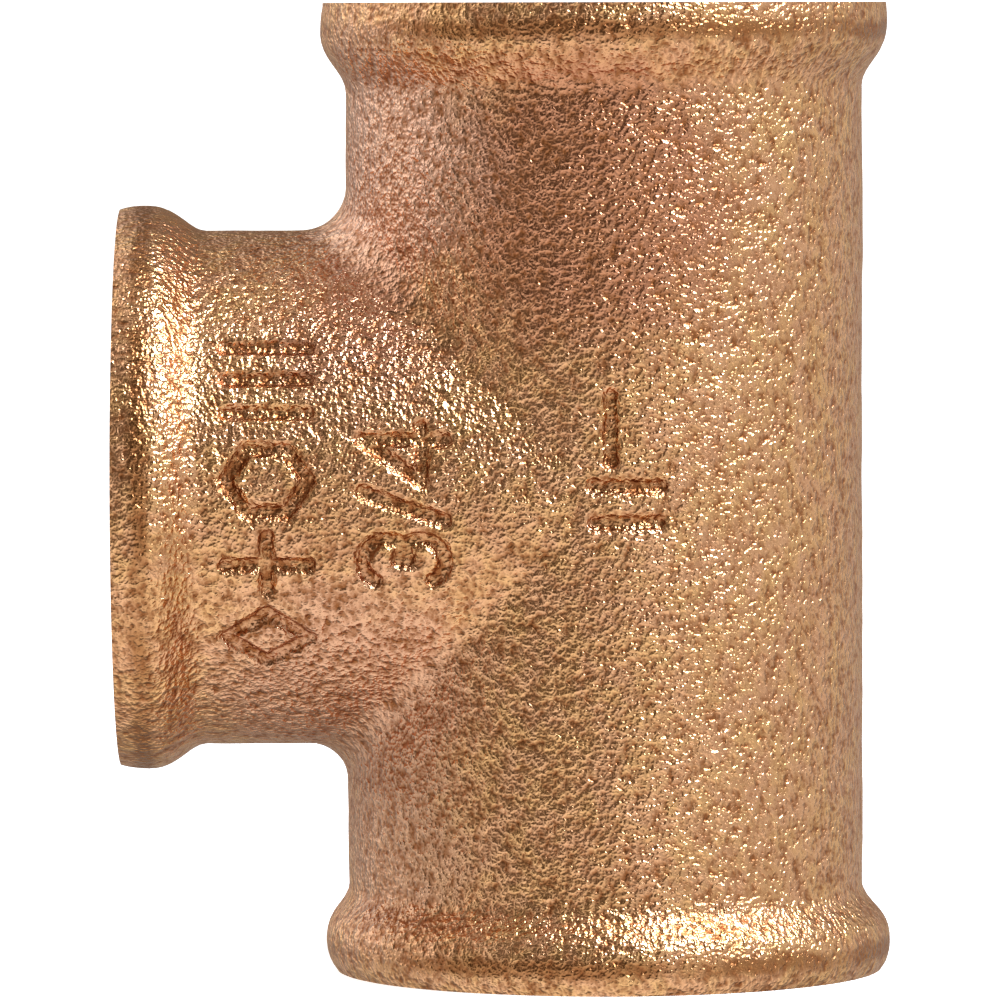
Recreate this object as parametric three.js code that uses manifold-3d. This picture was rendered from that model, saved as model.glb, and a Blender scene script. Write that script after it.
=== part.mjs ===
// Equal tee fitting, nominal size 3/4: one bronze casting with three banded ends, each machined flat
// and tapped with a parallel pipe thread. The run stands along Z and the branch leaves it towards -X.
// Millimetres, +Z up, standing on the lower run face with the origin under the middle of its box.
import * as THREE from "three";
import { mergeVertices } from "three/addons/utils/BufferGeometryUtils.js";
import Module from "manifold-3d";

const wasm = await Module();
wasm.setup();

// Outer casting.
const CENTRE_TO_FACE = 30;
const BODY_R = 16;
const BAND_R = 17.55;
const BAND_EDGE_R = 17.4;
const BAND_CREST = 1.65;
const SHOULDER_END = 5.3;
const NECK_FILLET_R = 2.3;

// Parallel pipe thread, 14 threads per inch with 55 degree flanks, and the cored waterway behind it.
const THREAD_PITCH = 25.4 / 14;
const THREAD_MAJOR_R = 26.441 / 2;
const THREAD_MINOR_R = 24.117 / 2;
const THREAD_LENGTH = 16.3;
const THREAD_ROOT_FLAT = THREAD_PITCH / 6;
const FLANK_SLOPE = Math.tan(THREE.MathUtils.degToRad(27.5));
const WATERWAY_R = 11.75;
const MOUTH_CHAMFER_R = 13.6;

// Sunk marks.
const MARK_WIDTH = 0.84;
const MARK_DEPTH = 0.36;
const MARK_HEIGHT = 5.8;

// How finely round shapes are divided: the outside, and the bores and threads inside.
const ROUND_STEPS = 48;
const BORE_STEPS = 24;
const FILLET_ARC_STEPS = 5;
const CURVE_STEPS = 4;

// The cutters start and end this far outside what they cut.
const CLEAR = 1;

// A closed geometry as a solid that can be joined and cut.
function toSolid(geometry) {
  const bare = geometry.clone();
  bare.deleteAttribute("normal");
  bare.deleteAttribute("uv");
  const merged = mergeVertices(bare, 1e-4);
  return new wasm.Manifold(
    new wasm.Mesh({
      numProp: 3,
      vertProperties: merged.attributes.position.array,
      triVerts: new Uint32Array(merged.index.array),
    }),
  );
}

// A solid back as a geometry with flat-shaded faces.
function toGeometry(solid) {
  const mesh = solid.getMesh();
  const geometry = new THREE.BufferGeometry();
  geometry.setAttribute("position", new THREE.BufferAttribute(mesh.vertProperties, 3));
  geometry.setIndex(new THREE.BufferAttribute(mesh.triVerts, 1));
  return geometry.toNonIndexed();
}

// A closed skin through a row of rings that have the same number of points, with a fan over each end.
function loft(rings) {
  const size = rings[0].length;
  const positions = rings.flat().flatMap((p) => [p.x, p.y, p.z]);
  const index = [];
  for (let i = 0; i + 1 < rings.length; i++) {
    for (let j = 0; j < size; j++) {
      const a = i * size + j;
      const b = i * size + ((j + 1) % size);
      index.push(a, b, b + size, a, b + size, a + size);
    }
  }
  const last = (rings.length - 1) * size;
  for (let j = 1; j + 1 < size; j++) {
    index.push(0, j + 1, j);
    index.push(last, last + j, last + j + 1);
  }
  const geometry = new THREE.BufferGeometry();
  geometry.setAttribute("position", new THREE.Float32BufferAttribute(positions, 3));
  geometry.setIndex(index);
  return geometry;
}

// Turns a profile of (radius, height) points about Z.
function turned(points) {
  return new THREE.LatheGeometry(points, ROUND_STEPS).rotateX(Math.PI / 2);
}

// One banded end as (radius, distance from the face): a slightly crowned band, then a smooth shoulder.
function bandProfile() {
  const path = new THREE.Path();
  path.moveTo(BAND_EDGE_R, 0);
  path.quadraticCurveTo(BAND_R, BAND_CREST / 3, BAND_R, BAND_CREST);
  path.bezierCurveTo(
    BAND_R,
    2 * BAND_CREST,
    BODY_R + 0.1,
    SHOULDER_END - 1.2,
    BODY_R,
    SHOULDER_END,
  );
  return path.getPoints(CURVE_STEPS);
}

// The run: a band at each end.
function runSolid() {
  const lower = bandProfile().map((p) => new THREE.Vector2(p.x, p.y - CENTRE_TO_FACE));
  const upper = bandProfile().map((p) => new THREE.Vector2(p.x, CENTRE_TO_FACE - p.y));
  upper.reverse();
  const foot = new THREE.Vector2(0, -CENTRE_TO_FACE);
  const top = new THREE.Vector2(0, CENTRE_TO_FACE);
  return toSolid(turned([foot, ...lower, ...upper, top]));
}

// The three ends, each as the transform that takes a tool standing on the XY plane to its face.
function endTransforms() {
  const up = new THREE.Matrix4().makeTranslation(0, 0, CENTRE_TO_FACE);
  const down = new THREE.Matrix4().makeRotationX(Math.PI).multiply(up);
  const left = new THREE.Matrix4().makeRotationY(-Math.PI / 2).multiply(up);
  return { up, down, left };
}

// The branch: one band, and a plain barrel that runs in to the axis of the run.
function branchSolid() {
  const band = bandProfile().map((p) => new THREE.Vector2(p.x, -p.y));
  band.reverse();
  const inner = [new THREE.Vector2(0, -CENTRE_TO_FACE), new THREE.Vector2(BODY_R, -CENTRE_TO_FACE)];
  const face = new THREE.Vector2(0, 0);
  return toSolid(turned([...inner, ...band, face]).applyMatrix4(endTransforms().left));
}

// The cast fillet where the branch meets the run, on the upper side (+1) or the lower side (-1).
// A ball of the fillet's radius rolls in the crease; t is its angle round the run, from the branch side.
function neckFilletSolid(side) {
  const reach = BODY_R + NECK_FILLET_R;
  const step = (2 * Math.PI) / ROUND_STEPS;
  const lastStep = ROUND_STEPS / 4 - 1;
  const rings = [];
  for (let k = -lastStep; k <= lastStep; k++) {
    const c = Math.cos(k * step);
    const s = Math.sin(k * step);
    const ball = new THREE.Vector3(-reach * c, reach * s, side * reach * c);
    const fromRun = new THREE.Vector3(-c, s, 0);
    const fromBranch = new THREE.Vector3(0, s, side * c);
    const ring = [];
    for (let j = 0; j <= FILLET_ARC_STEPS; j++) {
      const away = fromRun.clone().lerp(fromBranch, j / FILLET_ARC_STEPS).normalize();
      ring.push(ball.clone().addScaledVector(away, -NECK_FILLET_R));
    }
    const innerR = BODY_R - CLEAR;
    ring.push(new THREE.Vector3(-innerR * c, innerR * s, side * innerR * c));
    rings.push(side > 0 ? ring.reverse() : ring);
  }
  return toSolid(loft(rings));
}

// The waterway: a core through the run and one in from the branch.
function waterwaySolid() {
  const runCore = new THREE.CylinderGeometry(
    WATERWAY_R,
    WATERWAY_R,
    2 * (CENTRE_TO_FACE + CLEAR),
    BORE_STEPS,
  ).rotateX(Math.PI / 2);
  const branchCore = new THREE.CylinderGeometry(
    WATERWAY_R,
    WATERWAY_R,
    CENTRE_TO_FACE + CLEAR,
    BORE_STEPS,
  )
    .rotateZ(Math.PI / 2)
    .translate(-(CENTRE_TO_FACE + CLEAR) / 2, 0, 0);
  return toSolid(runCore).add(toSolid(branchCore));
}

// The lead-in chamfer at a mouth: a 45 degree cone whose wide end is outside the face.
function mouthCone() {
  const wide = MOUTH_CHAMFER_R + CLEAR;
  return new THREE.ConeGeometry(wide, wide, BORE_STEPS)
    .rotateX(-Math.PI / 2)
    .translate(0, 0, CLEAR - wide / 2);
}

// How deep the thread is cut at a height below the face: it fades out over the last turn of the tap.
function threadRadius(z) {
  const runOut = Math.min(1, (z + THREAD_LENGTH) / THREAD_PITCH);
  const leadIn = Math.min(1, 1 - z / CLEAR);
  return THREAD_MINOR_R + (THREAD_MAJOR_R - THREAD_MINOR_R) * runOut * leadIn;
}

// A tapped hole as a solid standing up to the XY plane: a bore with a right-hand thread round it.
// Each column of points runs straight up the bore, and its rows follow the helix, four to a turn:
// the two edges of the root and the two edges of the crest.
function tapGeometry() {
  const flank = (THREAD_MAJOR_R - THREAD_MINOR_R) * FLANK_SLOPE;
  const edges = [0, THREAD_ROOT_FLAT, THREAD_ROOT_FLAT + flank, THREAD_PITCH - flank];
  const turns = Math.ceil((THREAD_LENGTH + CLEAR) / THREAD_PITCH) + 2;
  const rows = turns * edges.length;
  const positions = [];
  for (let i = 0; i <= BORE_STEPS; i++) {
    const angle = (2 * Math.PI * i) / BORE_STEPS;
    for (let j = 0; j < rows; j++) {
      const turn = Math.floor(j / edges.length) - 1 + i / BORE_STEPS;
      const rise = turn * THREAD_PITCH + edges[j % edges.length] - THREAD_LENGTH;
      const z = THREE.MathUtils.clamp(rise, -THREAD_LENGTH, CLEAR);
      const r = j % edges.length < 2 ? threadRadius(z) : THREAD_MINOR_R;
      positions.push(r * Math.cos(angle), r * Math.sin(angle), z);
    }
  }
  const foot = positions.push(0, 0, -THREAD_LENGTH) / 3 - 1;
  const head = positions.push(0, 0, CLEAR) / 3 - 1;
  const index = [];
  for (let i = 0; i < BORE_STEPS; i++) {
    const here = i * rows;
    const next = here + rows;
    for (let j = 0; j + 1 < rows; j++) {
      index.push(here + j, next + j, next + j + 1, here + j, next + j + 1, here + j + 1);
    }
    index.push(foot, next, here, head, here + rows - 1, next + rows - 1);
  }
  const geometry = new THREE.BufferGeometry();
  geometry.setAttribute("position", new THREE.Float32BufferAttribute(positions, 3));
  geometry.setIndex(index);
  return geometry;
}

// Everything that machining takes out of one mouth, at the end that the transform leads to.
function mouthSolid(transform) {
  const cone = toSolid(mouthCone().applyMatrix4(transform));
  return cone.add(toSolid(tapGeometry().applyMatrix4(transform)));
}

// A straight stroke with round ends, in the plane of a mark.
function bar(x0, y0, x1, y1) {
  const half = MARK_WIDTH / 2;
  const heading = Math.atan2(y1 - y0, x1 - x0);
  const shape = new THREE.Shape();
  shape.absarc(x1, y1, half, heading - Math.PI / 2, heading + Math.PI / 2, false);
  shape.absarc(x0, y0, half, heading + Math.PI / 2, heading + (3 * Math.PI) / 2, false);
  return shape;
}

// A stroke bent along an arc, from one angle to another in degrees, anticlockwise.
function bend(x, y, radius, from, to) {
  const half = MARK_WIDTH / 2;
  const a = THREE.MathUtils.degToRad(from);
  const b = THREE.MathUtils.degToRad(to);
  const shape = new THREE.Shape();
  shape.absarc(x, y, radius + half, a, b, false);
  shape.absarc(x, y, radius - half, b, a, true);
  return shape;
}

// A closed outline of straight strokes round a centre: 4 corners make a diamond, 6 a hexagon.
function ringOfBars(corners, radiusX, radiusY) {
  const strokes = [];
  for (let i = 0; i < corners; i++) {
    const a = (2 * Math.PI * i) / corners;
    const b = (2 * Math.PI * (i + 1)) / corners;
    strokes.push(
      bar(
        radiusX * Math.sin(a),
        radiusY * Math.cos(a),
        radiusX * Math.sin(b),
        radiusY * Math.cos(b),
      ),
    );
  }
  return strokes;
}

// Plain foundry symbols, each centred on its own origin, with the reading direction along X.
const TALL = (MARK_HEIGHT - MARK_WIDTH) / 2;
const DIAMOND = ringOfBars(4, 1.8, TALL);
const PLUS = [bar(-1.7, 0, 1.7, 0), bar(0, -TALL, 0, TALL)];
const HEXAGON = ringOfBars(6, 2.2, TALL);
const THREE_BARS = [-2.2, 0, 2.2].map((x) => bar(x, -TALL, x, TALL));

// The nominal size as plain numerals.
const LOBE_R = 1.4;
const NUMERAL_THREE = [
  bend(0, TALL - LOBE_R, LOBE_R, -90, 150),
  bend(0, LOBE_R - TALL, LOBE_R, -150, 90),
];
const SLASH = [bar(-0.9, -TALL, 0.9, TALL)];
const NUMERAL_FOUR = [
  bar(0.9, -TALL, 0.9, TALL),
  bar(0.9, TALL, -1.7, -1.1),
  bar(-1.7, -1.1, 1.7, -1.1),
];

// Pattern marks on the front of the run.
const SHORT_BAR = [bar(-2, 0, 2, 0)];
const TWIN_BARS = [bar(-1.1, -2, -1.1, 2), bar(1.1, -2, 1.1, 2)];

// How a mark stands before it is placed: it reads upwards, its tops point to the branch side, and it is
// thick enough to pass right through the skin of a barrel whose front it lies on.
function frontTransform() {
  const stand = new THREE.Matrix4().makeBasis(
    new THREE.Vector3(0, 0, 1),
    new THREE.Vector3(-1, 0, 0),
    new THREE.Vector3(0, -1, 0),
  );
  return new THREE.Matrix4().makeTranslation(0, CLEAR - BODY_R, 0).multiply(stand);
}

// Strokes as one solid in the place that a transform gives.
function markSolid(strokes, transform) {
  const options = { depth: 2 * CLEAR, bevelEnabled: false, curveSegments: 3 };
  return strokes
    .map((shape) => toSolid(new THREE.ExtrudeGeometry(shape, options).applyMatrix4(transform)))
    .reduce((all, stroke) => all.add(stroke));
}

// A mark on the branch, at x along it and up its front by an arc in millimetres.
function branchMark(strokes, x, arc) {
  const turn = new THREE.Matrix4().makeRotationX(-arc / BODY_R);
  const place = new THREE.Matrix4().makeTranslation(x, 0, 0).multiply(turn);
  return markSolid(strokes, place.multiply(frontTransform()));
}

// A mark on the run, at a height z and round its front towards +X by an arc in millimetres.
function runMark(strokes, z, arc) {
  const turn = new THREE.Matrix4().makeRotationZ(arc / BODY_R);
  const place = new THREE.Matrix4().makeTranslation(0, 0, z).multiply(turn);
  return markSolid(strokes, place.multiply(frontTransform()));
}

// All sunk marks, cut back to a barrel of the depth that they reach.
function marksSolid() {
  const symbolX = -20.6;
  const sizeX = -12.3;
  const onBranch = [
    branchMark(DIAMOND, symbolX, -9),
    branchMark(PLUS, symbolX, -4),
    branchMark(HEXAGON, symbolX, 1.2),
    branchMark(THREE_BARS, symbolX, 7.6),
    branchMark(NUMERAL_THREE, sizeX, -3.8),
    branchMark(SLASH, sizeX, -0.4),
    branchMark(NUMERAL_FOUR, sizeX, 2.8),
  ];
  const onRun = [runMark(SHORT_BAR, 4.3, 0.2), runMark(TWIN_BARS, -0.3, 1.2)];
  const floorR = BODY_R - MARK_DEPTH;
  const branchFloor = new THREE.CylinderGeometry(floorR, floorR, 3 * CENTRE_TO_FACE, ROUND_STEPS);
  const runFloor = branchFloor.clone();
  branchFloor.rotateZ(Math.PI / 2);
  runFloor.rotateX(Math.PI / 2);
  const sum = (solids) => solids.reduce((all, one) => all.add(one));
  return sum(onBranch).subtract(toSolid(branchFloor)).add(sum(onRun).subtract(toSolid(runFloor)));
}

// The casting, joined from its barrels and fillets, then cored, machined and marked.
function teeBody() {
  const ends = endTransforms();
  const casting = runSolid().add(branchSolid()).add(neckFilletSolid(1)).add(neckFilletSolid(-1));
  const opened = casting.subtract(waterwaySolid());
  const machined = Object.values(ends).reduce((body, end) => body.subtract(mouthSolid(end)), opened);
  return machined.subtract(marksSolid());
}

const bronze = new THREE.MeshStandardMaterial({ color: 0xa87850, roughness: 0.5, metalness: 1 });
const body = new THREE.Mesh(toGeometry(teeBody()), bronze);
body.name = "tee_body";

const tee = new THREE.Group();
tee.add(body);
// The body is built round the point where its axes cross; its box reaches from the branch face to the
// crest of the run's bands.
body.position.set((CENTRE_TO_FACE - BAND_R) / 2, 0, CENTRE_TO_FACE);

export default tee;
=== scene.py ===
"""Looks of the bronze tee.

The casting is grown from a distance field with its stock left on, takes its sunk marks and its sand skin,
and is then cored, faced, chamfered and tapped, so that one closed mesh stands in the place of the CAD body.
"""
import math

import bmesh
import bpy
import numpy as np
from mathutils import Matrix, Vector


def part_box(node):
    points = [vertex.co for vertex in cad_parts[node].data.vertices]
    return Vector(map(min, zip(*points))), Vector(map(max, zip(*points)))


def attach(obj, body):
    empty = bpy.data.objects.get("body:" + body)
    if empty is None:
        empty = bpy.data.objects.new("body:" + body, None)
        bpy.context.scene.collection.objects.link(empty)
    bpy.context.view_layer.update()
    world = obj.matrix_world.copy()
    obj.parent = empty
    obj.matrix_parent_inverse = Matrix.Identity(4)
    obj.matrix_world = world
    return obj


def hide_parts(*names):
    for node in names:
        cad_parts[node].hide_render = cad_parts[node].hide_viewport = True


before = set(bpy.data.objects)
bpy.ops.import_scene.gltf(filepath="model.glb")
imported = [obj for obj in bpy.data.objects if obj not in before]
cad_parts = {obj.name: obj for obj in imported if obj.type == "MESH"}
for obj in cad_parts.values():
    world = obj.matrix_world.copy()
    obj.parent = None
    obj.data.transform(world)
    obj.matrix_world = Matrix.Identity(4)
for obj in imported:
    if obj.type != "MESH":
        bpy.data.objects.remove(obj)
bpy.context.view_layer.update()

import openvdb
from mathutils import Matrix, Vector, noise

LOW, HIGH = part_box("tee_body")
MM = 0.001

# The shape code works in millimetres about the point where the axes cross, as part.mjs does.
CENTRE = Vector((HIGH.x - HIGH.y, 0.0, (LOW.z + HIGH.z) / 2))
FACE = (HIGH.z - LOW.z) / 2 / MM
BAND_R = HIGH.y / MM

# Outer casting, as in part.mjs.
BODY_R = 16.0
BAND_EDGE_R = 17.4
BAND_CREST = 1.65
SHOULDER_END = 5.3
NECK_FILLET_R = 2.3

# What a casting has and a drawing has not: stock on the faces, a core with soft corners, a softer upper
# crease, a slightly slim branch, an upper band that tilts, and a lower band that is more rounded and off the
# run's axis.
STOCK = 1.2
CORE_R = 11.75
CORE_FILLET_R = 1.5
UPPER_CREASE_EXTRA = 0.5
UPPER_BAND_TILT = 0.013
LOWER_BAND_SHIFT = 0.20
LOWER_EDGE_R = 16.85
LOWER_CREST = 1.9
BRANCH_EDGE_R = 17.3
BRANCH_CREST = 1.8
BRANCH_SHRINK = 0.07

# Rp 3/4 thread and the mouth round it. The thread's corners are as sharp as they can be at a sharpness of 1,
# and its crests are cut back a little from the minor radius.
THREAD_PITCH = 25.4 / 14
THREAD_MAJOR_R = 26.441 / 2
THREAD_MINOR_R = 24.117 / 2
THREAD_LENGTH = 16.3
THREAD_SHARPNESS = 0.93
CREST_CUT = 0.05
MOUTH_CHAMFER_R = 13.6

# Sunk marks, with how far their edges wander.
MARK_WIDTH = 0.82
MARK_DEPTH = 0.38
MARK_HEIGHT = 5.8
MARK_WALL = 0.48
MARK_WANDER = 0.06

# Unevenness of the sand: the height, the wavelength and the seed of each layer of noise.
SKIN_SWELLS = [(0.07, 9.0, 1), (0.04, 4.0, 2), (0.03, 1.5, 3)]
CORE_SWELL = (0.08, 5.0, 5)

# Mesh sizes. The skin's edges are halved once within each reach of a mark.
SKIN_VOXEL = 0.45
CORE_VOXEL = 0.9
MARK_REACHES = (1.1, 0.8)
TURNED_STEPS = 192
THREAD_STEPS = 56
THREAD_ROWS = 8

# How far a facing cutter reaches past the metal on both sides.
CUTTER_MARGIN = 1.0

# Steps over which slopes are taken, the least squared slope that is trusted, and a guard against dividing by
# nothing.
SLOPE_STEP = 0.02
NORMAL_STEP = 0.1
LEAST_SLOPE = 0.2
TINY = 1e-9

# The distance that stands for everything outside a grid.
OUTSIDE = 3.0


# ---------------------------------------------------------------- the casting as a distance field

def smoothstep(low, high, value):
    """0 at low and 1 at high, with a smooth rise between them; low may be the larger of the two."""
    t = np.clip((value - low) / (high - low), 0.0, 1.0)
    return t * t * (3.0 - 2.0 * t)


def bezier(points, t):
    """Points of a Bezier curve of any degree at the parameters t."""
    level = [np.outer(np.ones_like(t), p) for p in points]
    while len(level) > 1:
        level = [a + (b - a) * t[:, None] for a, b in zip(level, level[1:])]
    return level[0]


def band_profile(edge_r, crest):
    """Distances from the face, and the radii there, along one banded end."""
    t = np.linspace(0.0, 1.0, 40)
    crown = bezier([(0.0, edge_r), (crest / 3, BAND_R), (crest, BAND_R)], t)
    foot = (SHOULDER_END - 1.2, BODY_R + 0.1)
    shoulder = bezier([(crest, BAND_R), (2 * crest, BAND_R), foot, (SHOULDER_END, BODY_R)], t)
    return np.vstack([crown, shoulder[1:]]).T


UPPER_BAND = band_profile(BAND_EDGE_R, BAND_CREST)
LOWER_BAND = band_profile(LOWER_EDGE_R, LOWER_CREST)
BRANCH_BAND = band_profile(BRANCH_EDGE_R, BRANCH_CREST)


def rolling_ball(d1, n1, d2, n2, radius):
    """Union of two bodies with a ball-rolled fillet, from their distances and outward normals."""
    c = np.clip((n1 * n2).sum(0), -0.9999, 0.9999)
    u = radius - d1
    v = radius - d2
    in_crease = (u > v * c) & (v > u * c) & (u > 0) & (v > 0)
    reach = np.sqrt(np.maximum(u * u + v * v - 2.0 * c * u * v, 0.0) / (1.0 - c * c))
    return np.where(in_crease, radius - reach, np.minimum(d1, d2))


def barrels(x, y, z, run_r, branch_r, shift, fillet):
    """Distance to a run barrel along z, shifted in x, with a branch barrel along -x growing out of it."""
    rho1 = np.hypot(x - shift, y) + TINY
    rho2 = np.hypot(y, z) + TINY
    d1 = rho1 - run_r
    d2 = rho2 - branch_r
    zero = 0.0 * rho1 * rho2
    n1 = np.stack([(x - shift) / rho1 + zero, y / rho1 + zero, zero])
    n2 = np.stack([zero, y / rho2 + zero, z / rho2 + zero])
    return np.where(x < 0, rolling_ball(d1, n1, d2, n2, fillet), d1)


def skin_distance(x, y, z):
    """Distance to the outer skin, which runs on past the faces. The lower band's shift dies away above it."""
    shift = LOWER_BAND_SHIFT * smoothstep(SHOULDER_END + 1.0, 2.0, z + FACE)
    fillet = NECK_FILLET_R + UPPER_CREASE_EXTRA * smoothstep(0.0, 10.0, z)
    upper_r = np.interp(FACE - z + UPPER_BAND_TILT * x, *UPPER_BAND)
    run_r = np.where(z > 0, upper_r, np.interp(z + FACE, *LOWER_BAND))
    branch_r = np.interp(x + FACE, *BRANCH_BAND) - BRANCH_SHRINK
    return barrels(x, y, z, run_r, branch_r, shift, fillet)


def casting_distance(x, y, z):
    """Distance to the casting as poured, with stock on its three faces."""
    beyond_stock = np.maximum(abs(z), -x) - (FACE + STOCK)
    return np.maximum(skin_distance(x, y, z), beyond_stock)


def core_distance(x, y, z):
    """Distance to the sand core, which reaches out past the stock."""
    beyond_core = np.maximum(abs(z), -x) - (FACE + 2 * STOCK)
    return np.maximum(barrels(x, y, z, CORE_R, CORE_R, 0.0, CORE_FILLET_R), beyond_core)


def gradient(distance, p, step):
    """The slope of a distance at each point, by central differences."""
    slopes = []
    for axis in range(3):
        offset = np.zeros(3)
        offset[axis] = step
        slopes.append((distance(*(p + offset).T) - distance(*(p - offset).T)) / (2 * step))
    return np.stack(slopes, 1)


def settled(distance, p):
    """The points moved onto the surface where the distance is zero."""
    for _ in range(2):
        slope = gradient(distance, p, SLOPE_STEP)
        squared = np.maximum((slope * slope).sum(1), LEAST_SLOPE)
        p = p - slope * (distance(*p.T) / squared)[:, None]
    return p


def grown(distance, radius, reach, voxel):
    """Points and quads of the surface where the distance is zero."""
    low = np.array([-reach, -radius, -reach]) - 2 * voxel
    high = np.array([radius, radius, reach]) + 2 * voxel
    counts = np.ceil((high - low) / voxel).astype(int) + 1
    axes = [low[i] + voxel * np.arange(counts[i]) for i in range(3)]
    field = distance(*np.meshgrid(*axes, indexing="ij"))
    grid = openvdb.FloatGrid(OUTSIDE)
    grid.copyFromArray(field.astype(np.float32))
    points, _, quads = grid.convertToPolygons(0.0, 0.0)
    return settled(distance, points.astype(float) * voxel + low), quads.tolist()


# ---------------------------------------------------------------- sunk marks

HALF_TALL = (MARK_HEIGHT - MARK_WIDTH) / 2
LOBE_R = 1.4


def bar(x0, y0, x1, y1):
    """Distance to a straight stroke, as a function of a point in the plane of the mark."""
    dx, dy = x1 - x0, y1 - y0

    def distance(u, v):
        t = np.clip(((u - x0) * dx + (v - y0) * dy) / (dx * dx + dy * dy), 0.0, 1.0)
        return np.hypot(u - x0 - t * dx, v - y0 - t * dy)

    return distance


def bend(y, start, end):
    """Distance to a stroke along a lobe, anticlockwise between two angles in degrees."""
    middle = math.radians((start + end) / 2)
    half = math.radians((end - start) / 2)

    def distance(u, v):
        turn = (np.arctan2(v - y, u) - middle + math.pi) % (2 * math.pi) - math.pi
        angle = np.clip(turn, -half, half) + middle
        return np.hypot(u - LOBE_R * np.cos(angle), v - y - LOBE_R * np.sin(angle))

    return distance


def ring_of_bars(corners, radius_x, radius_y):
    """Straight strokes round a closed outline with its first corner at the top."""
    turns = [2 * math.pi * i / corners for i in range(corners + 1)]
    points = [(radius_x * math.sin(a), radius_y * math.cos(a)) for a in turns]
    return [bar(*p, *q) for p, q in zip(points, points[1:])]


DIAMOND = ring_of_bars(4, 1.8, HALF_TALL)
PLUS = [bar(-1.7, 0, 1.7, 0), bar(0, -HALF_TALL, 0, HALF_TALL)]
HEXAGON = ring_of_bars(6, 2.2, HALF_TALL)
THREE_BARS = [bar(x, -HALF_TALL, x, HALF_TALL) for x in (-2.2, 0.0, 2.2)]
NUMERAL_THREE = [bend(HALF_TALL - LOBE_R, -90, 150), bend(LOBE_R - HALF_TALL, -150, 90)]
SLASH = [bar(-0.9, -HALF_TALL, 0.9, HALF_TALL)]
NUMERAL_FOUR = [
    bar(0.9, -HALF_TALL, 0.9, HALF_TALL),
    bar(0.9, HALF_TALL, -1.7, -1.1),
    bar(-1.7, -1.1, 1.7, -1.1),
]
SHORT_BAR = [bar(-2, 0, 2, 0)]
TWIN_BARS = [bar(-1.1, -2, -1.1, 2), bar(1.1, -2, 1.1, 2)]

# Each mark reads upwards, with its top towards -x. On the branch it stands at an x, and at an arc up the
# front; on the run it stands at a height, and at an arc round the front towards +x.
BRANCH_MARKS = [
    (DIAMOND, -20.6, -9.0),
    (PLUS, -20.6, -4.0),
    (HEXAGON, -20.6, 1.2),
    (THREE_BARS, -20.6, 7.6),
    (NUMERAL_THREE, -12.3, -3.8),
    (SLASH, -12.3, -0.4),
    (NUMERAL_FOUR, -12.3, 2.8),
]
RUN_MARKS = [(SHORT_BAR, 4.3, 0.2), (TWIN_BARS, -0.3, 1.2)]


def stroke_distance(p):
    """Distance from each point to the middle line of the nearest stroke, over the front of the barrels."""
    x, y, z = p.T
    up_branch = BODY_R * np.arctan2(z, -y)
    round_run = BODY_R * np.arctan2(x, -y)
    nearest = np.full(len(p), np.inf)
    for strokes, at_x, arc in BRANCH_MARKS:
        for stroke in strokes:
            nearest = np.minimum(nearest, stroke(up_branch - arc, at_x - x))
    for strokes, at_z, arc in RUN_MARKS:
        for stroke in strokes:
            nearest = np.minimum(nearest, stroke(z - at_z, arc - round_run))
    return np.where(y < 0, nearest, np.inf)


# ---------------------------------------------------------------- materials

# Where the colour mix's own sockets stand among the mix node's, which has a set for each kind of value.
MIX_SHARE = 0
MIX_A = 6
MIX_B = 7
MIX_RESULT = 2


class Nodes:
    """A node tree, written as nested calls."""

    def __init__(self, tree):
        self.tree = tree

    def node(self, kind, inputs, output=0, **settings):
        """Adds a node, gives its inputs values or links, and returns one of its outputs."""
        node = self.tree.nodes.new(kind)
        for key, value in settings.items():
            setattr(node, key, value)
        self.feed(node, inputs)
        return node.outputs[output]

    def feed(self, node, inputs):
        """Links each input to a socket, or sets it to a value."""
        for key, value in inputs.items():
            if isinstance(value, bpy.types.NodeSocket):
                self.tree.links.new(value, node.inputs[key])
            else:
                node.inputs[key].default_value = value

    def millimetres(self):
        """Position on the object in millimetres from the point where the axes cross."""
        place = self.node("ShaderNodeTexCoord", {}, "Object")
        return self.node("ShaderNodeVectorMath", {0: place, "Scale": 1 / MM}, operation="SCALE")

    def separate(self, place):
        """The X, Y and Z of a position, by name."""
        return self.node("ShaderNodeSeparateXYZ", {"Vector": place}).node.outputs

    def noise(self, place, wavelength, detail=2.0, roughness=0.5):
        """Fractal noise whose coarsest waves have a length in millimetres."""
        inputs = {"Vector": place, "Scale": 1 / wavelength, "Detail": detail, "Roughness": roughness}
        return self.node("ShaderNodeTexNoise", inputs)

    def math(self, operation, a, b=0.0, clamp=False):
        """One sum on one or two values."""
        return self.node("ShaderNodeMath", {0: a, 1: b}, operation=operation, use_clamp=clamp)

    def between(self, value, low, high, to_low=0.0, to_high=1.0):
        """The value's range from low to high, stretched smoothly to another range."""
        inputs = {"Value": value, "From Min": low, "From Max": high, "To Min": to_low, "To Max": to_high}
        return self.node("ShaderNodeMapRange", inputs, interpolation_type="SMOOTHSTEP")

    def mix(self, share, a, b):
        """Colour a with a share of colour b mixed in."""
        inputs = {MIX_SHARE: share, MIX_A: a, MIX_B: b}
        return self.node("ShaderNodeMix", inputs, MIX_RESULT, data_type="RGBA")

    def bump(self, height, depth, below=None):
        """Normal of a surface whose height runs over a depth in millimetres."""
        inputs = {"Height": height, "Distance": depth * MM, "Strength": 1.0}
        if below is not None:
            inputs["Normal"] = below
        return self.node("ShaderNodeBump", inputs)


def new_material(name):
    """A new material, and the nodes it is built with."""
    material = bpy.data.materials.new(name)
    material.use_nodes = True
    return material, Nodes(material.node_tree)


def finished(material, nodes, **inputs):
    """The material, with its surface's inputs set."""
    surface = material.node_tree.nodes["Principled BSDF"]
    nodes.feed(surface, {key.replace("_", " "): value for key, value in inputs.items()})
    return material


def rgb(r, g, b):
    """An opaque colour."""
    return (r, g, b, 1.0)


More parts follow.
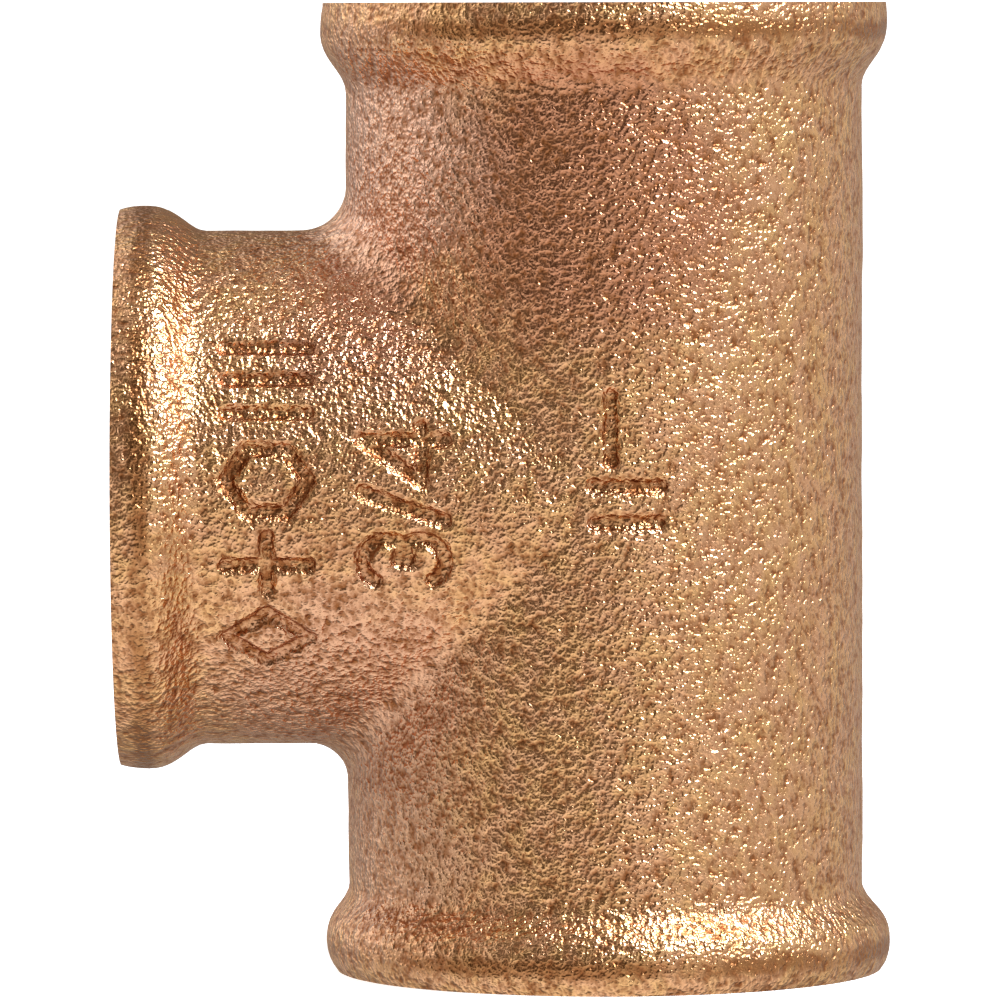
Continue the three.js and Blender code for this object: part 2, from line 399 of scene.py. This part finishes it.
# Cast skin: two tones of clean metal, a redder one in patches, a painted dark reflection along the crest of
# each band, and painted shade in the gaps between the grains.
CLEAN_PINK = rgb(0.90, 0.486, 0.256)
CLEAN_GOLD = rgb(0.92, 0.520, 0.226)
REDDENED = rgb(0.76, 0.375, 0.20)
CREST_SHADE = rgb(0.42, 0.175, 0.060)
GRAIN_SHADE = rgb(0.36, 0.130, 0.044)

# Wavelengths of the sand's grains and lumps, and how deep the two are together.
GRAIN = 0.30
LUMP = 0.80
GRAIN_DEPTH = 0.42

# How far the painted dark reflection wanders across a band's crest, and how dark it and the marks' painted
# shade are.
CREST_WANDER = 1.2
CREST_SHADING = 0.85
MARK_SHADING = 0.42

# Rings that the lathe tool leaves on the faces.
RING_PITCH = 0.22
RING_DEPTH = 0.004

# Patches of other colour: a centre in millimetres, a radius, and a colour. Most are oxide on the skin; the
# last two are painted shade. Each patch fades out over the same width.
PATCH_FADE = 6.0
PATCH_STRENGTH = 0.85
STAINS_AND_SHADES = [
    ((-1.0, -16.0, 18.0), 9.0, rgb(0.62, 0.27, 0.15)),
    ((-13.0, -8.0, 20.0), 8.0, rgb(0.80, 0.47, 0.33)),
    ((-16.0, -10.0, -11.0), 8.0, rgb(0.84, 0.46, 0.29)),
    # Painted shade in the dark band below the upper crease.
    ((-15.0, -11.0, 9.0), 5.0, rgb(0.62, 0.30, 0.18)),
    # Painted shade low on the left of the run.
    ((-14.0, -9.0, -21.0), 7.0, rgb(0.68, 0.38, 0.23)),
]


def stained_and_shaded(n, at, color):
    """The colour with every patch laid over it, oxide and painted shade alike, each with a ragged edge."""
    ragged = n.noise(at, 2.5, 3.0, 0.65)
    for centre, radius, tone in STAINS_AND_SHADES:
        away = n.node("ShaderNodeVectorMath", {0: at, 1: Vector(centre)}, "Value", operation="DISTANCE")
        reach = n.math("ADD", away, n.math("MULTIPLY", ragged, PATCH_FADE))
        color = n.mix(n.between(reach, radius, radius + PATCH_FADE, PATCH_STRENGTH, 0.0), color, tone)
    return color


def crest_shade_share(n, at):
    """Up to 1 along the crest of each band, where a dark reflection is painted, and 0 away from it."""
    place = n.separate(at)
    out = n.math("MAXIMUM", n.math("ABSOLUTE", place["Z"]), n.math("MULTIPLY", place["X"], -1.0))
    wander = n.math("MULTIPLY", n.noise(at, 3.0, 3.0, 0.6), CREST_WANDER)
    depth = n.math("ADD", n.math("SUBTRACT", FACE, out), wander)
    crest = n.math("ABSOLUTE", n.math("SUBTRACT", depth, BAND_CREST + CREST_WANDER / 2))
    patchy = n.between(n.noise(at, 7.0, 2.0), 0.35, 0.55, 0.4, 1.0)
    return n.math("MULTIPLY", n.between(crest, 0.25, 0.85, 1.0, 0.0), patchy)


def cast_skin():
    """Sand-cast gunmetal, shot-blasted: bright grains with painted shade in the gaps between them, oxide in
    patches, painted shade in the marks and by two creases, and a painted dark reflection along the band
    crests.
    """
    material, n = new_material("bronze_cast_skin")
    at = n.millimetres()
    grain = n.noise(at, GRAIN, 1.0)
    lumps = n.noise(at, LUMP, 1.5)
    height = n.math("ADD", n.math("MULTIPLY", grain, 0.5), n.math("MULTIPLY", lumps, 0.5))
    hue = n.between(n.noise(at, 1.7, 2.0, 0.6), 0.35, 0.65)
    metal = n.mix(hue, CLEAN_PINK, CLEAN_GOLD)
    metal = n.mix(n.between(n.noise(at, 6.0, 3.0, 0.6), 0.45, 0.65, 0.0, 0.3), metal, REDDENED)
    # Painted dark reflection: a line along the crest of each band is darkened.
    metal = n.mix(n.math("MULTIPLY", crest_shade_share(n, at), CREST_SHADING), metal, CREST_SHADE)
    metal = stained_and_shaded(n, at, metal)
    sunk = n.node("ShaderNodeAttribute", {}, "Fac", attribute_name="sunk")
    # Painted shade: the floors of the sunk marks are darkened, in place of the shadow that falls in them.
    mark_shade = n.math("MULTIPLY", sunk, MARK_SHADING)
    # Painted shade: low grains are darkened towards the gap colour, in place of the shadow that falls between
    # them.
    painted_shade = n.math("ADD", n.between(height, 0.60, 0.30), mark_shade, clamp=True)
    color = n.mix(painted_shade, metal, GRAIN_SHADE)
    rough = n.between(height, 0.38, 0.60, 0.40, 0.23)
    normal = n.bump(height, GRAIN_DEPTH)
    return finished(material, n, Base_Color=color, Metallic=1.0, Roughness=rough, Normal=normal)


def machined(name, across, up):
    """Freshly faced bronze with the fine rings of a lathe tool round the axis square to two directions."""
    material, n = new_material(name)
    at = n.millimetres()
    place = n.separate(at)
    squares = [n.math("POWER", place[axis], 2.0) for axis in (across, up)]
    radius = n.math("SQRT", n.math("ADD", *squares))
    rings = n.math("SINE", n.math("MULTIPLY", radius, 2 * math.pi / RING_PITCH))
    smear = n.noise(at, 1.8, 3.0, 0.6)
    color = n.mix(n.between(smear, 0.3, 0.7), rgb(0.80, 0.46, 0.24), rgb(0.90, 0.58, 0.33))
    rough = n.between(smear, 0.3, 0.7, 0.24, 0.34)
    normal = n.bump(rings, RING_DEPTH, n.bump(n.noise(at, 0.3, 1.0), 0.01))
    return finished(material, n, Base_Color=color, Metallic=1.0, Roughness=rough, Normal=normal)


def tapped():
    """Cut thread: clean bronze, brighter and duller in soft patches."""
    material, n = new_material("bronze_thread")
    at = n.millimetres()
    smear = n.between(n.noise(at, 1.4, 3.0, 0.6), 0.3, 0.7)
    color = n.mix(smear, rgb(0.76, 0.43, 0.22), rgb(0.88, 0.56, 0.31))
    rough = n.between(smear, 0.0, 1.0, 0.26, 0.38)
    return finished(material, n, Base_Color=color, Metallic=1.0, Roughness=rough, Normal=n.bump(smear, 0.02))


def cored():
    """The inside as the core left it: coarser sand and darker oxide."""
    material, n = new_material("bronze_cored")
    at = n.millimetres()
    stain = n.noise(at, 3.0, 2.0, 0.5)
    color = n.mix(n.between(stain, 0.35, 0.65), rgb(0.36, 0.17, 0.09), rgb(0.62, 0.34, 0.18))
    normal = n.bump(n.noise(at, 0.7, 2.0), 0.25)
    return finished(material, n, Base_Color=color, Metallic=1.0, Roughness=0.5, Normal=normal)


FINISHES = {
    "skin": cast_skin(),
    "run_face": machined("bronze_faced_run", "X", "Y"),
    "branch_face": machined("bronze_faced_branch", "Y", "Z"),
    "thread": tapped(),
    "cored": cored(),
}


# ---------------------------------------------------------------- meshes

# How far apart the noises of two seeds lie, and the angle from which an edge is shaded as a sharp one.
NOISE_STRIDE = Vector((17.3, 5.1, 9.7))
SHARP_ANGLE = math.radians(38)


def placed(name, data, location=(0, 0, 0)):
    """A new object in the scene."""
    obj = bpy.data.objects.new(name, data)
    obj.location = location
    bpy.context.scene.collection.objects.link(obj)
    return obj


def wobble(points, wavelength, seed):
    """Smooth noise between about -1 and 1 at each point."""
    offset = NOISE_STRIDE * seed
    return np.array([noise.noise(Vector(p) / wavelength + offset) for p in points])


def sunk_share(p):
    """1 on the floor of a sunk mark, 0 outside it."""
    from_stroke = stroke_distance(p) + MARK_WANDER * wobble(p, 0.8, 4)
    half = MARK_WIDTH / 2
    return smoothstep(half + MARK_WALL / 2, half - MARK_WALL / 2, from_stroke)


def skin_height(p):
    """How far the cast skin stands proud of its pattern: slow swells, sand lumps and the sunk marks."""
    swells = sum(height * wobble(p, wavelength, seed) for height, wavelength, seed in SKIN_SWELLS)
    return swells - MARK_DEPTH * sunk_share(p)


def coordinates(mesh):
    """The mesh's vertices as rows of x, y and z."""
    points = np.empty(3 * len(mesh.vertices))
    mesh.vertices.foreach_get("co", points)
    return points.reshape(-1, 3)


def near_strokes(bm, reach):
    """The edges of every face whose middle is within reach of a stroke."""
    centres = np.array([face.calc_center_median() for face in bm.faces])
    near = stroke_distance(centres) < reach
    return {edge for face, close in zip(bm.faces, near) if close for edge in face.edges}


def casting():
    """The casting before machining, finer round the sunk marks."""
    points, quads = grown(casting_distance, BAND_R, FACE + STOCK, SKIN_VOXEL)
    mesh = bpy.data.meshes.new("casting")
    mesh.from_pydata(points.tolist(), [], quads)
    bm = bmesh.new()
    bm.from_mesh(mesh)
    for reach in MARK_REACHES:
        bmesh.ops.subdivide_edges(bm, edges=list(near_strokes(bm, reach)), cuts=1, use_grid_fill=True)
    p = settled(casting_distance, np.array([vertex.co for vertex in bm.verts]))
    normals = gradient(casting_distance, p, NORMAL_STEP)
    normals /= np.maximum(np.linalg.norm(normals, axis=1), 1e-6)[:, None]
    p += normals * skin_height(p)[:, None]
    for vertex, point in zip(bm.verts, p):
        vertex.co = point
    return solid("casting", bm, "skin")


def solid(name, bm, finish, matrix=Matrix()):
    """An object of a closed bmesh in millimetres, moved by the matrix, with one finish all over."""
    bmesh.ops.transform(bm, matrix=matrix, verts=bm.verts)
    bmesh.ops.recalc_face_normals(bm, faces=bm.faces)
    slot = list(FINISHES).index(finish)
    for face in bm.faces:
        face.material_index = slot
    mesh = bpy.data.meshes.new(name)
    bm.to_mesh(mesh)
    bm.free()
    for material in FINISHES.values():
        mesh.materials.append(material)
    return placed(name, mesh)


def closed(points, faces):
    """A bmesh of points and faces, with the points that fall together joined."""
    bm = bmesh.new()
    verts = [bm.verts.new(p) for p in points]
    for face in faces:
        bm.faces.new([verts[i] for i in face])
    bmesh.ops.remove_doubles(bm, verts=bm.verts, dist=1e-5)
    return bm


def core():
    """The sand core that leaves the waterway."""
    points, quads = grown(core_distance, CORE_R, FACE + 2 * STOCK, CORE_VOXEL)
    height, wavelength, seed = CORE_SWELL
    swell = height * wobble(points, wavelength, seed)
    p = points + gradient(core_distance, points, NORMAL_STEP) * swell[:, None]
    return solid("core", closed(p, quads), "cored")


def facing_cut(finish, matrix):
    """What the lathe takes off one end: everything past the face, and the lead-in cone of the mouth."""
    inner = CORE_R - CUTTER_MARGIN
    outer = BAND_R + CUTTER_MARGIN
    top = 3 * STOCK
    profile = [(inner, inner - MOUTH_CHAMFER_R), (MOUTH_CHAMFER_R, 0), (outer, 0), (outer, top), (inner, top)]
    rows = len(profile)
    points = []
    for i in range(TURNED_STEPS):
        angle = 2 * math.pi * i / TURNED_STEPS
        points += [(r * math.cos(angle), r * math.sin(angle), z) for r, z in profile]
    columns = [i * rows for i in range(TURNED_STEPS)]
    faces = []
    for here, there in zip(columns, columns[1:] + columns[:1]):
        faces += [(here + j, there + j, there + j + 1, here + j + 1) for j in range(rows - 1)]
    faces += [columns, [c + rows - 1 for c in columns]]
    return solid("facing_cut", closed(points, faces), finish, matrix)


def thread_radius(z, turn):
    """Radius of the tapped hole at a height above the face, and a phase in turns along the pitch."""
    bore = THREAD_MINOR_R + CREST_CUT
    middle = (THREAD_MAJOR_R + THREAD_MINOR_R) / 2
    wave = math.asin(THREAD_SHARPNESS * math.cos(2 * math.pi * turn)) / math.asin(THREAD_SHARPNESS)
    radius = max(bore, middle + (THREAD_MAJOR_R - THREAD_MINOR_R) / 2 * wave)
    run_out = min(1.0, (z + THREAD_LENGTH) / THREAD_PITCH, (STOCK - z) / STOCK * 2)
    return bore + (radius - bore) * run_out


def tap_cut(matrix):
    """The tapped hole: columns of points straight up the bore, in rows that follow a right-hand helix."""
    rows = (math.ceil((THREAD_LENGTH + STOCK) / THREAD_PITCH) + 2) * THREAD_ROWS
    points = []
    for i in range(THREAD_STEPS + 1):
        angle = 2 * math.pi * i / THREAD_STEPS
        for j in range(rows):
            height = (j / THREAD_ROWS - 1 + i / THREAD_STEPS) * THREAD_PITCH - THREAD_LENGTH
            z = min(max(height, -THREAD_LENGTH), STOCK)
            r = thread_radius(z, j / THREAD_ROWS)
            points.append((r * math.cos(angle), r * math.sin(angle), z))
    columns = [i * rows for i in range(THREAD_STEPS)]
    faces = [(c + j, c + rows + j, c + rows + j + 1, c + j + 1) for c in columns for j in range(rows - 1)]
    faces += [columns, [c + rows - 1 for c in columns]]
    return solid("tap_cut", closed(points, faces), "thread", matrix)


def carved(obj, cutters):
    """The object's mesh with every cutter taken out of it."""
    for cutter in cutters:
        modifier = obj.modifiers.new(cutter.name, "BOOLEAN")
        modifier.operation = "DIFFERENCE"
        modifier.solver = "MANIFOLD"
        modifier.object = cutter
    mesh = bpy.data.meshes.new_from_object(obj.evaluated_get(bpy.context.evaluated_depsgraph_get()))
    for used in [obj, *cutters]:
        bpy.data.objects.remove(used)
    return mesh


def tee():
    """Makes the finished fitting, which stands in the place of the CAD body."""
    ends = [
        ("run_face", Matrix.Translation((0, 0, FACE))),
        ("run_face", Matrix.Rotation(math.pi, 4, "X") @ Matrix.Translation((0, 0, FACE))),
        ("branch_face", Matrix.Rotation(-math.pi / 2, 4, "Y") @ Matrix.Translation((0, 0, FACE))),
    ]
    cutters = [core()]
    cutters += [facing_cut(finish, matrix) for finish, matrix in ends]
    cutters += [tap_cut(matrix) for _, matrix in ends]
    mesh = carved(casting(), cutters)
    mesh.attributes.new("sunk", "FLOAT", "POINT").data.foreach_set("value", sunk_share(coordinates(mesh)))
    mesh.transform(Matrix.Scale(MM, 4))
    mesh.set_sharp_from_angle(angle=SHARP_ANGLE)
    mesh.shade_smooth()
    obj = placed("tee", mesh, CENTRE)
    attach(obj, "root")
    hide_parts("tee_body")


# ---------------------------------------------------------------- stage, lights and camera

WHITE = rgb(1.0, 1.0, 1.0)

# Metres from here on.
FLOOR_SIZE = 5.0
DOME_R = 2.6

KEY_PLACE = CENTRE + 0.5 * Vector((0.56, -0.32, 0.75))
KEY_SIZE = (0.24, 0.25)
KEY_POWER = 3.6
KEY_COLOR = (0.88, 1.0, 1.17)


def paper(name, glow):
    """White paper that gives a little light of its own."""
    material, n = new_material(name)
    return finished(
        material, n, Base_Color=WHITE, Roughness=1.0, Emission_Color=WHITE, Emission_Strength=glow
    )


def floor():
    """A sheet of paper under the fitting, which the metal doesn't mirror."""
    half = FLOOR_SIZE / 2
    corners = [(-half, -half, 0), (half, -half, 0), (half, half, 0), (-half, half, 0)]
    mesh = bpy.data.meshes.new("floor")
    mesh.from_pydata(corners, [], [(0, 1, 2, 3)])
    mesh.materials.append(paper("paper", 0.8))
    obj = placed("floor", mesh, (0, 0, LOW.z))
    obj.visible_glossy = False


def backdrop():
    """A pale dome round the stage, which only the camera sees."""
    bm = bmesh.new()
    bmesh.ops.create_uvsphere(bm, u_segments=48, v_segments=24, radius=DOME_R)
    mesh = bpy.data.meshes.new("backdrop")
    bm.to_mesh(mesh)
    bm.free()
    mesh.materials.append(paper("backdrop", 1.0))
    obj = placed("backdrop", mesh)
    obj.visible_diffuse = False
    obj.visible_glossy = False
    obj.visible_shadow = False


# The tint of the studio's dim parts, how bright it is all round, and where it is brighter or darker than
# that: a direction, the gain there, and the cosine at which the gain has died away.
DIM_COLOR = rgb(1.0, 0.80, 0.58)
STUDIO = 0.66
STUDIO_LOBES = [
    ((-0.50, -0.78, 0.37), -0.60, 0.38),
    ((0.0, 0.75, -0.66), -0.30, 0.3),
    ((0.0, 0.75, 0.66), -0.42, 0.5),
    ((0.70, 0.68, -0.22), 0.08, 0.6),
    ((-0.75, -0.13, 0.65), 0.30, 0.7),
    ((-0.35, 0.30, 0.90), -0.30, 0.80),
    ((0.75, -0.66, 0.10), -0.10, 0.6),
    ((0.0, -0.65, -0.76), 0.45, 0.4),
    ((-0.62, 0.50, 0.60), 1.00, 0.7),
    ((-0.98, 0.10, -0.2), 0.15, 0.5),
]


def studio_world():
    """Light from all round, white where it is strong and warm where it is dim."""
    world = bpy.data.worlds.new("studio")
    world.use_nodes = True
    n = Nodes(world.node_tree)
    toward = n.node("ShaderNodeTexCoord", {}, "Generated")
    strength = STUDIO
    for direction, gain, edge in STUDIO_LOBES:
        inputs = {0: toward, 1: Vector(direction).normalized()}
        cosine = n.node("ShaderNodeVectorMath", inputs, "Value", operation="DOT_PRODUCT")
        strength = n.math("ADD", n.between(cosine, edge, 1.0, 0.0, gain), strength)
    color = n.mix(n.between(strength, 0.1, 0.6), DIM_COLOR, WHITE)
    n.feed(world.node_tree.nodes["Background"], {"Color": color, "Strength": strength})
    bpy.context.scene.world = world


def key_light():
    """The one lamp: a softbox up on the right in front, turned towards the fitting."""
    light = bpy.data.lights.new("key", "AREA")
    light.shape = "RECTANGLE"
    light.size, light.size_y = KEY_SIZE
    light.energy = KEY_POWER
    light.color = KEY_COLOR
    obj = placed("key", light, KEY_PLACE)
    obj.rotation_mode = "QUATERNION"
    obj.rotation_quaternion = (CENTRE - KEY_PLACE).to_track_quat("-Z", "Y")


def stage():
    """Everything round the fitting, and how the picture is shown."""
    floor()
    backdrop()
    studio_world()
    key_light()
    bpy.context.scene.view_settings.view_transform = "Standard"


# The camera stands in front of the fitting's middle, about level with its top face, and tips down a little.
# Its focal length is given in sensor widths.
CAMERA_PLACE = Vector((-0.00055, -0.5596, 0.0594))
CAMERA_PITCH = math.radians(3.094)
CAMERA_PAN = math.radians(0.030)
CAMERA_ROLL = math.radians(-0.12)
FOCAL_WIDTHS = 9.025


def camera():
    """Makes the camera, turned a little from looking straight along +y."""
    data = bpy.data.cameras.new("camera")
    data.sensor_width = 36.0
    data.lens = FOCAL_WIDTHS * data.sensor_width
    data.clip_start, data.clip_end = 0.05, 20.0
    pan = Matrix.Rotation(-CAMERA_PAN, 4, "Z")
    pitch = Matrix.Rotation(math.pi / 2 - CAMERA_PITCH, 4, "X")
    roll = Matrix.Rotation(CAMERA_ROLL, 4, "Z")
    obj = placed("camera", data, CAMERA_PLACE)
    obj.rotation_mode = "QUATERNION"
    obj.rotation_quaternion = (pan @ pitch @ roll).to_quaternion()
    bpy.context.scene.camera = obj


tee()
stage()
camera()
bpy.context.view_layer.update()
